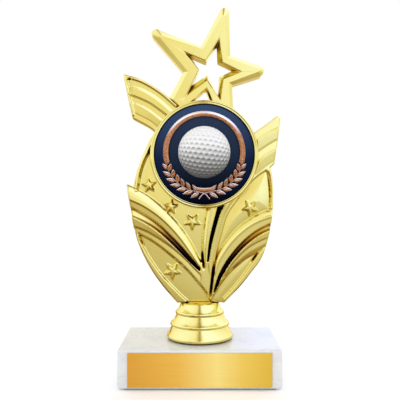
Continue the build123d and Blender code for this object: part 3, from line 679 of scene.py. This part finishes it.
def blurred(values, sigma):
    """The map, smoothed by a Gaussian of sigma millimetres."""
    reach = int(3 * sigma / CELL) + 1
    kernel = np.exp(-0.5 * (np.arange(-reach, reach + 1) * CELL / sigma) ** 2)
    kernel /= kernel.sum()
    for axis in (0, 1):
        padded = np.pad(values, [(reach, reach) if k == axis else (0, 0) for k in (0, 1)], mode="edge")
        size = values.shape[axis]
        values = sum(w * np.take(padded, range(i, i + size), axis=axis) for i, w in enumerate(kernel))
    return values


panel = closed([PANEL_LEFT, PANEL_RIGHT[::-1]])
wings = [closed(WING_LEFT), closed(WING_RIGHT)]
outlines = [panel, cornered(LEAF_TIP), *wings]
for polygon in outlines[:2]:
    fill(polygon, PANEL_RIM)
for curves, height, swelling in FIELDS:
    fill(closed(curves), height, swelling)
fill(cornered(STEM), STEM_TOP)
for upper, lower, section in FEATHERS:
    strip(upper, lower, section, section)
for first, second, start, end in STRIPS:
    strip(first, second, start, end)
for run, width, height in BEADS:
    bead(run, width, height)
for star in SMALL_STARS:
    small_star(*star)
heights = blurred(heights, BLUR)
# How far each point lies below its smoothed surroundings; the gold material turns this into painted shade in
# the grooves.
hollows = np.maximum(blurred(heights, HOLLOW_BLUR) - heights, 0)


def map_at(values, points):
    """A map's values between its cells, at the points."""
    u, v = (points[:, 0] - MAP_LEFT) / CELL, (points[:, 1] - MAP_BOTTOM) / CELL
    i, j = np.clip(v.astype(int), 0, MAP_ROWS - 2), np.clip(u.astype(int), 0, MAP_COLUMNS - 2)
    s, t = np.clip(v - i, 0, 1), np.clip(u - j, 0, 1)
    low = values[i, j] * (1 - t) + values[i, j + 1] * t
    return low * (1 - s) + (values[i + 1, j] * (1 - t) + values[i + 1, j + 1] * t) * s


def relief():
    """The figure's skin in front of the split plane: (points, faces), closed by walls and a flat back."""
    a = np.arange(0, 2 * pi, 0.02)
    hub = np.stack([DISC_X + HUB_RADIUS * np.cos(a), DISC_Z + HUB_RADIUS * np.sin(a)], 1)
    shapes = [*outlines, hub]
    gx, gz = np.meshgrid(np.arange(*GRID_X, GRID), np.arange(*GRID_Z, GRID))
    gx[::2] += GRID / 2
    grid = np.stack([gx.ravel(), gz.ravel()], 1)
    grid = grid[np.any([inside(grid, s) for s in outlines], axis=0)]
    grid = grid[np.linalg.norm(grid - (DISC_X, DISC_Z), axis=1) > HUB_CLEAR]
    border = np.vstack(shapes)
    runs, first = [], 0
    for s in shapes:
        runs.append(list(range(first, first + len(s))))
        first += len(s)
    flat = [Vector(p) for p in np.vstack([border, grid])]
    border_edges = [edge for run in runs for edge in zip(run, run[1:] + run[:1])]
    found = delaunay_2d_cdt(flat, border_edges, [], 0, 1e-5, False)
    p, triangles = np.array(found[0]), np.array(found[2])
    middles = p[triangles].mean(axis=1)
    triangles = triangles[np.any([inside(middles, s) for s in shapes], axis=0)].tolist()
    edges = {}
    for triangle in triangles:
        for a, b in zip(triangle, triangle[1:] + triangle[:1]):
            edges[(a, b)] = edges.get((a, b), 0) + 1
    rim = [(a, b) for a, b in edges if (b, a) not in edges]
    starts, ends = p[[a for a, _ in rim]], p[[b for _, b in rim]]
    reach = edge_distance(p, starts, ends)
    drop = np.where(reach < OUTLINE_ROUND, OUTLINE_ROUND - np.sqrt(
        np.maximum(OUTLINE_ROUND**2 - (OUTLINE_ROUND - reach) ** 2, 0)), 0)
    top = map_at(heights, p) - drop
    count = len(p)
    points = np.concatenate([np.c_[p[:, 0], -top, p[:, 1]], np.c_[p[:, 0], 0 * top, p[:, 1]]])
    walls = [[b, a, a + count, b + count] for a, b in rim]
    back = [[a + count, c + count, b + count] for a, b, c in triangles]
    faces = triangles + walls + back
    used = sorted({i for f in faces for i in f})
    place = {old: new for new, old in enumerate(used)}
    return points[used], [[place[i] for i in f] for f in faces]


COLLAR_PROFILE = [
    (28.0, 0.1), (28.0, 7.3), (27.9, 7.75), (27.65, 8.05), (27.3, 8.2), (27.1, 8.1), (26.95, 7.95),
    (26.8, 7.92), (26.65, 7.95), (26.5, 8.1), (26.3, 8.2), (26.1, 8.1), (25.97, 7.85), (25.92, 7.4),
    (25.9, 5.0), (0.0, 5.0), (0.0, 0.1),
]
PLUG_RADIUS, PLUG_DEPTH, COLLAR_REACH = 7.4, 13.0, 28.5
figure = join(relief(), lathe(COLLAR_PROFILE, (DISC_X, DISC_Z), "y", 220))
flip = np.array([1, -1, 1])
half_turn = [radians(a) for a in range(180, 361, 6)]
plug = loft([
    np.array([(PLUG_RADIUS * cos(a), PLUG_RADIUS * sin(a), z) for a in half_turn])
    for z in (FOOT_TOP - PLUG_DEPTH, FOOT_TOP + 0.5)
])
front = join(figure, plug)
skin = np.array(front[0])
on_relief = (skin[:, 1] < -0.3) & (skin[:, 2] > FOOT_TOP + 1)
on_relief &= np.hypot(skin[:, 0] - DISC_X, skin[:, 2] - DISC_Z) > COLLAR_REACH
# The depth below the surroundings, carried to the gold as an attribute for its painted groove shade.
hollow = np.where(on_relief, map_at(hollows, skin[:, [0, 2]]), 0)
make("front_shell_skin", *front, gold, "gold", nodes=["front_shell"], hollow=hollow)
make("back_shell_skin", skin * flip, front[1], gold, "gold", nodes=["back_shell"], hollow=hollow)


# ---------------------------------------------------------------- star frame
def rounded(polygon, radii, base_radius):
    """A polygon with each corner turned into an arc, always with the same number of points."""
    corners = []
    p = np.array(polygon, float)
    for i, corner in enumerate(p):
        before, after = p[i - 1] - corner, p[(i + 1) % len(p)] - corner
        before, after = before / np.linalg.norm(before), after / np.linalg.norm(after)
        half = 0.5 * np.arccos(np.clip(before @ after, -1, 1))
        radius = radii.get(i, base_radius)
        middle = before + after
        middle = middle / np.linalg.norm(middle)
        centre = corner + middle * radius / sin(half)
        start = before * radius / tan(half) + corner - centre
        end = after * radius / tan(half) + corner - centre
        for t in np.linspace(0, 1, 9):
            turn = np.arccos(np.clip(start @ end / radius**2, -1, 1))
            arc = (np.sin((1 - t) * turn) * start + np.sin(t * turn) * end) / max(np.sin(turn), 1e-9)
            corners.append(centre + arc)
    return np.array(corners)


def moved_out(polygon, distance):
    """The polygon with every edge moved outwards."""
    p = np.array(polygon, float)
    edges = np.roll(p, -1, axis=0) - p
    normals = np.stack([edges[:, 1], -edges[:, 0]], 1) / np.linalg.norm(edges, axis=1)[:, None]
    clockwise = sum(p[:, 0] * np.roll(p[:, 1], -1) - p[:, 1] * np.roll(p[:, 0], -1)) < 0
    if clockwise:
        normals = -normals
    before = np.roll(normals, 1, axis=0)
    return p + (normals + before) * distance / (1 + np.sum(normals * before, axis=1))[:, None]


def at_depth(loop, y):
    return np.c_[loop[:, 0], np.full(len(loop), y), loop[:, 1]]


face_loop = rounded(STAR_FACE, {0: 0.8, 2: 0.9, 11: 0.8}, 0.15)
side_loop = rounded(STAR_SIDE, STAR_TIPS, 0.3)
hole_loop, waist_loop = rounded(OPENING_FACE, {}, 0.25), rounded(OPENING_WAIST, {}, 0.2)
STAR_BEVEL_DEPTH, STAR_LIP = 1.5, 0.5
outer = loft([
    at_depth(face_loop, -STAR_HALF), at_depth(side_loop, STAR_BEVEL_DEPTH - STAR_HALF),
    at_depth(side_loop, STAR_HALF - STAR_BEVEL_DEPTH), at_depth(face_loop, STAR_HALF),
], cap=False)
lip_loop = rounded(moved_out(OPENING_FACE, STAR_LIP), {}, 0.25)
inner = loft([
    at_depth(lip_loop, -STAR_HALF), at_depth(hole_loop, STAR_LIP - STAR_HALF),
    at_depth(waist_loop, 0),
    at_depth(hole_loop, STAR_HALF - STAR_LIP), at_depth(lip_loop, STAR_HALF),
], cap=False)
n_out, n_in = len(face_loop), len(hole_loop)
star_points, star_faces = join(outer, inner)
cap = tessellate_polygon([[Vector((*q, 0)) for q in face_loop], [Vector((*q, 0)) for q in lip_loop]])
for out_start, in_start in ((0, 4 * n_out), (3 * n_out, 4 * n_out + 4 * n_in)):
    star_faces += [[i + out_start if i < n_out else i - n_out + in_start for i in t] for t in cap]
star = make("star_frame_skin", star_points, star_faces, gold, "gold", nodes=["star_frame"])
soften(star, 0.3)

# ---------------------------------------------------------------- foot
foot_profile = [(r, FOOT_BOTTOM + z) for r, z in FOOT_PROFILE] + [
    (7.6, FOOT_TOP), (7.5, FOOT_TOP - 0.2), (7.5, FOOT_TOP - 12), (9.3, FOOT_TOP - 12), (15.0, FOOT_BOTTOM),
]
make("foot_skin", *lathe(foot_profile, (0, 0), "z", 160), gold, "gold", angle=50, nodes=["stepped_foot"])

# ---------------------------------------------------------------- insert disc, ring, laurel and ball
disc_profile = [
    (0, DISC_BACK), (DISC_RADIUS, DISC_BACK), (DISC_RADIUS, DISC_FRONT - 0.3),
    (DISC_RADIUS - 0.1, DISC_FRONT - 0.1), (DISC_RADIUS - 0.35, DISC_FRONT), (0, DISC_FRONT),
]
disc = lathe(disc_profile, (DISC_X, DISC_Z), "y", 200)
make("insert_disc_skin", *disc, navy, "navy", nodes=["insert_disc"])

RING_SECTION = [
    (18.5, 0.02), (18.5, 0.85), (18.65, 1.0), (19.9, 1.02), (20.1, 0.95), (21.1, 0.28), (21.3, 0.12),
    (21.3, 0.02),
]


def ring_arc(start, end):
    """Part of the ring, between two angles from the top."""
    rings = []
    for a in np.radians(np.linspace(start, end, round((end - start) / 1.5))):
        rings.append([(DISC_X + r * sin(a), -DISC_FRONT - h, MOTIF_Z + r * cos(a)) for r, h in RING_SECTION])
    return loft(np.array(rings))


laurel_parts = [ring_arc(-106, 106), ring_arc(168, 192)]
LEAF_LIFT, LEAF_RISE, RIB_DEPTH, STEM_RADIUS = 0.35, 0.8, 0.32, 21.05


def on_laurel(side, angle, reach):
    return np.array([DISC_X + side * reach * sin(radians(angle)), MOTIF_Z + reach * cos(radians(angle))])


def leaf_mesh(root, tip, width, lift):
    """A pointed leaf from root to tip: domed, with a sunk mid-rib."""
    along = tip - root
    across = np.array([-along[1], along[0]]) / np.linalg.norm(along)
    points, rows, columns = [], 14, 9
    for s in np.linspace(0, 1, rows):
        half = width / 2 * max(sin(pi * s**0.8), 0.03) ** 0.75
        for t in np.linspace(-1, 1, columns):
            place = root + along * s + across * half * t
            dome = LEAF_RISE * (1 - abs(t) ** 3) * sin(pi * min(max(s, 0.06), 0.94)) ** 0.4
            groove = RIB_DEPTH * np.exp(-((t / 0.16) ** 2)) * sin(pi * s)
            points.append((place[0], -(DISC_FRONT + lift + dome - groove), place[1]))
    count = len(points)
    points += [(x, -DISC_FRONT, z) for x, _, z in points]
    faces = []
    for i in range(rows - 1):
        for j in range(columns - 1):
            a = i * columns + j
            faces += [[a, a + 1, a + columns + 1, a + columns]]
            faces += [[a + count, a + count + columns, a + count + columns + 1, a + count + 1]]
    rim = list(range(columns)) + [i * columns + columns - 1 for i in range(1, rows)]
    rim += [(rows - 1) * columns + j for j in range(columns - 2, -1, -1)]
    rim += [i * columns for i in range(rows - 2, 0, -1)]
    faces += [[a, a + count, b + count, b] for a, b in zip(rim, rim[1:] + rim[:1])]
    return points, faces


# Leaves as (angle and radius of the tip, angle and radius of the root, width), outer ones and inner ones.
LEAVES = [
    (105.2, 22.4, 115.0, 21.0, 2.3), (115.2, 23.5, 125.6, 21.3, 2.5), (125.0, 24.1, 134.8, 21.3, 2.5),
    (133.9, 24.4, 144.2, 21.4, 2.5), (143.6, 24.2, 153.9, 21.2, 2.5), (152.6, 24.3, 163.8, 21.0, 2.5),
    (163.2, 24.7, 172.8, 21.1, 2.5), (98.4, 19.5, 109.0, 20.4, 2.6), (108.6, 18.1, 118.4, 20.6, 2.6),
    (118.8, 18.2, 129.2, 20.7, 2.6), (128.9, 18.1, 139.4, 20.7, 2.6), (137.8, 18.0, 149.8, 20.6, 2.3),
    (147.8, 18.0, 160.0, 20.6, 2.3), (159.6, 17.9, 171.0, 20.9, 2.3),
]


def stalk(run, start_size, end_size):
    """A round stalk along a run of points, half sunk in the disc."""
    tangent = np.gradient(run, axis=0)
    normal = np.stack([-tangent[:, 1], tangent[:, 0]], 1) / np.linalg.norm(tangent, axis=1)[:, None]
    rings = []
    for p, m, size in zip(run, normal, np.linspace(start_size, end_size, len(run))):
        ring = []
        for a in np.linspace(0, 2 * pi, 12, endpoint=False):
            x, z = p + m * size * cos(a)
            ring.append((x, -(DISC_FRONT + 0.3 + (size + 0.3) * max(sin(a), -0.5)), z))
        rings.append(np.array(ring))
    return loft(rings)


for side in (-1, 1):
    for i, (tip_angle, tip_reach, root_angle, root_reach, width) in enumerate(LEAVES):
        ends = on_laurel(side, root_angle, root_reach), on_laurel(side, tip_angle, tip_reach)
        laurel_parts.append(leaf_mesh(*ends, width, LEAF_LIFT + 0.03 * (i % 2)))
    stem = [on_laurel(side, a, STEM_RADIUS) for a in (107, 130, 153, 176)]
    laurel_parts.append(stalk(curve(stem, 60), 0.22, 0.3))
    tail = on_laurel(side, 174.5, 20.9), on_laurel(-side, 178.8, 21.6), on_laurel(-side, 173.5, 24.4)
    laurel_parts.append(stalk(curve(tail, 16), 0.28, 0.42))
make("laurel_ring_skin", *join(*laurel_parts), bronze, "bronze", angle=50, nodes=["laurel_ring"])


DIMPLE_SPACING, DIMPLE_ANGLE, DIMPLE_DEPTH, LATTICE_REACH, BALL_TURN = 0.215, 0.088, 0.36, 1.62, 0.12


def golf_ball():
    """Half a golf ball, flattened in depth, with dimples in hexagonal rows; angles are in radians."""
    rings, turns = 120, 260
    lattice = []
    for row in range(-8, 9):
        for column in range(-9, 10):
            p = np.array([(column + 0.5 * (row % 2)) * DIMPLE_SPACING, row * DIMPLE_SPACING * 0.866])
            reach = np.linalg.norm(p)
            if reach < LATTICE_REACH:
                lattice.append((*(p / max(reach, 1e-9) * sin(reach)), cos(reach)))
    c, s = cos(BALL_TURN), sin(BALL_TURN)
    lattice = np.array(lattice) @ np.array([[c, s, 0], [-s, c, 0], [0, 0, 1]]).T
    polar = np.linspace(0, pi / 2, rings) ** 0.9 * (pi / 2) ** 0.1
    points = []
    for a in polar:
        b = np.arange(turns) * 2 * pi / turns
        d = np.stack([sin(a) * np.cos(b), sin(a) * np.sin(b), np.full(turns, cos(a))], 1)
        gap = np.arccos(np.clip((d @ lattice.T).max(1), -1, 1))
        bowl = np.clip(1 - (gap / DIMPLE_ANGLE) ** 2, 0, 1) ** 0.7
        sink = DIMPLE_DEPTH * bowl * min(1, (pi / 2 - a) / 0.05)
        r, h = BALL_RADIUS - sink, BALL_HEIGHT - sink
        ring = [DISC_X + r * d[:, 0], -(DISC_FRONT + h * d[:, 2]), MOTIF_Z + r * d[:, 1]]
        points += list(np.stack(ring, 1))
    faces = []
    for i in range(rings - 1):
        a, b = i * turns, (i + 1) * turns
        faces += [[a + j, a + (j + 1) % turns, b + (j + 1) % turns, b + j] for j in range(turns)]
    faces.append(list(range((rings - 1) * turns, rings * turns)))
    return points, faces


ball = make("golf_ball_skin", *golf_ball(), ball_white, "ball_white", angle=60, nodes=["golf_ball"])
merge = bmesh.new()
merge.from_mesh(ball.data)
bmesh.ops.remove_doubles(merge, verts=merge.verts, dist=1e-7)
merge.to_mesh(ball.data)
merge.free()


# ---------------------------------------------------------------- felt under the base
def felt_pad():
    """A thin sheet with rounded corners whose cut edge is soft and slightly frayed."""
    random = np.random.default_rng(11)
    a = np.linspace(0, 2 * pi, 1440, endpoint=False)
    half, centre, corner = (felt_high - felt_low) / 2, (felt_high + felt_low) / 2, 2.0
    core = np.c_[np.sign(np.cos(a)) * (half[0] - corner), np.sign(np.sin(a)) * (half[1] - corner)]
    out = np.c_[np.cos(a), np.sin(a)]
    edge = core + corner * out
    steps = np.linalg.norm(np.roll(edge, -1, axis=0) - edge, axis=1) > 1
    fine = []
    for point, following, direction, jump in zip(edge, np.roll(edge, -1, axis=0), out, steps):
        count = 400 if jump else 1
        fine += [(*(point + (following - point) * k / count), *direction) for k in range(count)]
    fine = np.array(fine)
    rings = []
    for share, inset in ((0.0, 0.5), (0.15, 0.15), (0.5, 0.0), (0.85, 0.12), (1.0, 0.4)):
        fray = inset + random.uniform(0, 0.25, len(fine))
        xy = centre[:2] + fine[:, :2] - fine[:, 2:] * fray[:, None]
        lift = random.uniform(-0.04, 0.04, len(fine)) * (0 < share < 1)
        rings.append(np.c_[xy, felt_low[2] + share * (felt_high[2] - felt_low[2]) + lift])
    return loft(rings)


make("felt_sheet_skin", *felt_pad(), felt, "felt", angle=70, nodes=["felt_sheet"])

# ---------------------------------------------------------------- materials of the CAD nodes that stay
for node, finish in {
    "marble_base": marble, "name_plate": plate_gold, "plate_tape": tape, "insert_tape": tape,
    "threaded_rod": steel, "base_washer": steel, "spring_washer": steel, "rod_nuts": steel,
}.items():
    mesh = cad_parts[node].data
    mesh.materials.clear()
    mesh.materials.append(finish)
soften(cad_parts["marble_base"], 0.35)
soften(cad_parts["name_plate"], 0.12)

# ---------------------------------------------------------------- floor
# Reflections have their own light: a level from 0 to 1 that picks a tint. What the floor shows in the gold
# depends on the distance from the trophy and on the side, and what the room shows on height and side.
LIGHT_STRENGTH, FLOOR_SHARE, FLOOR_GLOW = 2.55, 0.72, 0.10
LIGHT_TINTS = [
    (0.0, (0.012, 0.005, 0.002)), (0.25, (0.13, 0.070, 0.027)), (0.5, (0.30, 0.215, 0.10)),
    (0.7, (0.43, 0.405, 0.32)), (0.85, (0.47, 0.485, 0.55)), (1.0, (0.50, 0.56, 0.84)),
]
SIDE_LIGHT = [
    (0.0, 0.9), (0.26, 0.88), (0.29, 0.12), (0.35, 0.10), (0.38, 0.72), (0.475, 0.84), (0.49, 1.0),
    (1.0, 1.0),
]
floor_mesh = bpy.data.meshes.new("floor")
floor_mesh.from_pydata([(-3, -3, 0), (3, -3, 0), (3, 6, 0), (-3, 6, 0)], [], [[0, 1, 2, 3]])
floor = bpy.data.objects.new("floor", floor_mesh)
bpy.context.scene.collection.objects.link(floor)
paper = bpy.data.materials.new("pale_floor")
paper.use_nodes = True
n = Nodes(paper.node_tree)
sheet = n.add("BsdfDiffuse", {"Color": uneven(30.0, 0.985, 1.0)(n)})
glow = n.add("Emission", {"Color": (1, 1, 1, 1), "Strength": FLOOR_GLOW})
plain = n.add("AddShader", {0: sheet.outputs[0], 1: glow.outputs[0]})
reach = n.add("VectorMath", {0: n.position()}, operation="LENGTH").outputs["Value"]
axes = n.split(n.position())
slope = n.math("DIVIDE", axes["X"], n.math("MAXIMUM", n.math("ABSOLUTE", axes["Y"]), 0.05))
near_far = n.ramp(n.math("MULTIPLY", reach, 0.5), [
    (0.0, 0.0), (0.032, 0.12), (0.047, 0.46), (0.07, 0.60), (0.12, 0.62), (0.18, 0.77), (0.30, 0.74),
    (0.38, 0.70), (1.0, 0.74),
])
shine = n.ramp(n.math("MULTIPLY", near_far, n.ramp(n.scaled(slope, 0.25), SIDE_LIGHT)), LIGHT_TINTS)
seen = n.add("Emission", {"Color": shine, "Strength": LIGHT_STRENGTH * FLOOR_SHARE})
path = n.add("LightPath")
n.add("OutputMaterial", {"Surface": n.add("MixShader", {
    0: path.outputs["Is Glossy Ray"], 1: plain.outputs[0], 2: seen.outputs[0]}).outputs[0]})
floor_mesh.materials.append(paper)

# ---------------------------------------------------------------- light
world = bpy.data.worlds.new("studio")
bpy.context.scene.world = world
world.use_nodes = True
world.cycles.sampling_method = "NONE"
n = Nodes(world.node_tree)
direction = n.add("TexCoord").outputs["Generated"]
axes = n.split(direction)
height, side = n.scaled(axes["Z"], 0.5), n.scaled(axes["X"], 0.5)
tent = n.ramp(height, [
    (0.30, 0.10), (0.46, 0.60), (0.50, 0.88), (0.55, 0.84), (0.60, 0.80), (0.72, 0.94), (0.85, 1.0)])
across = n.ramp(side, [
    (0.0, 0.95), (0.25, 0.88), (0.36, 0.80), (0.44, 0.80), (0.5, 0.86), (0.55, 1.13), (0.64, 1.13),
    (0.8, 1.0), (1.0, 0.85),
])
band_wide = n.ramp(side, [(0.18, 0.0), (0.21, 1.0), (0.25, 1.0), (0.28, 0.0)])
band_low = n.ramp(height, [(0.56, 1.0), (0.62, 0.0)])
streak_wide = n.ramp(n.math("ABSOLUTE", axes["X"]), [(0.02, 1.0), (0.05, 0.5), (0.14, 0.2), (0.18, 0.0)])
streak_high = n.ramp(height, [(0.74, 0.0), (0.80, 1.0)])
band, streak = n.math("MULTIPLY", band_wide, band_low), n.math("MULTIPLY", streak_wide, streak_high)
cards = n.math("SUBTRACT", 1.0, n.math("MULTIPLY", n.math("MAXIMUM", band, streak), 0.85))
level = n.math("MULTIPLY", n.math("MULTIPLY", tent, across), cards)
glossy = n.add("Background", {"Color": n.ramp(level, LIGHT_TINTS), "Strength": LIGHT_STRENGTH})
soft = n.add("Background", {
    "Color": n.ramp(height, [(0.2, 0.40), (0.5, 0.98), (0.7, 0.92), (1.0, 0.84)]), "Strength": 1.12})
white = n.add("Background", {"Color": (1, 1, 1, 1), "Strength": 1.0})
path = n.add("LightPath")
lit = n.add("MixShader", {0: path.outputs["Is Glossy Ray"], 1: soft.outputs[0], 2: glossy.outputs[0]})
n.add("OutputWorld", {"Surface": n.add("MixShader", {
    0: path.outputs["Is Camera Ray"], 1: lit.outputs[0], 2: white.outputs[0]}).outputs[0]})

# ---------------------------------------------------------------- camera
FOCAL_SHARE, CAMERA_DISTANCE, CAMERA_HEIGHT, CAMERA_SIDE, CAMERA_TILT = 552.3 / 400, 292.4, 91.2, 0.1, 0.0045
camera_data = bpy.data.cameras.new("camera")
camera_data.sensor_width = 36.0
camera_data.lens = camera_data.sensor_width * FOCAL_SHARE
camera_data.clip_start, camera_data.clip_end = 0.01, 50.0
camera = bpy.data.objects.new("camera", camera_data)
bpy.context.scene.collection.objects.link(camera)
camera.location = (CAMERA_SIDE * MM, -CAMERA_DISTANCE * MM, CAMERA_HEIGHT * MM)
camera.rotation_euler = (pi / 2 + CAMERA_TILT, 0, 0)
bpy.context.scene.camera = camera
bpy.context.scene.view_settings.view_transform = "Standard"
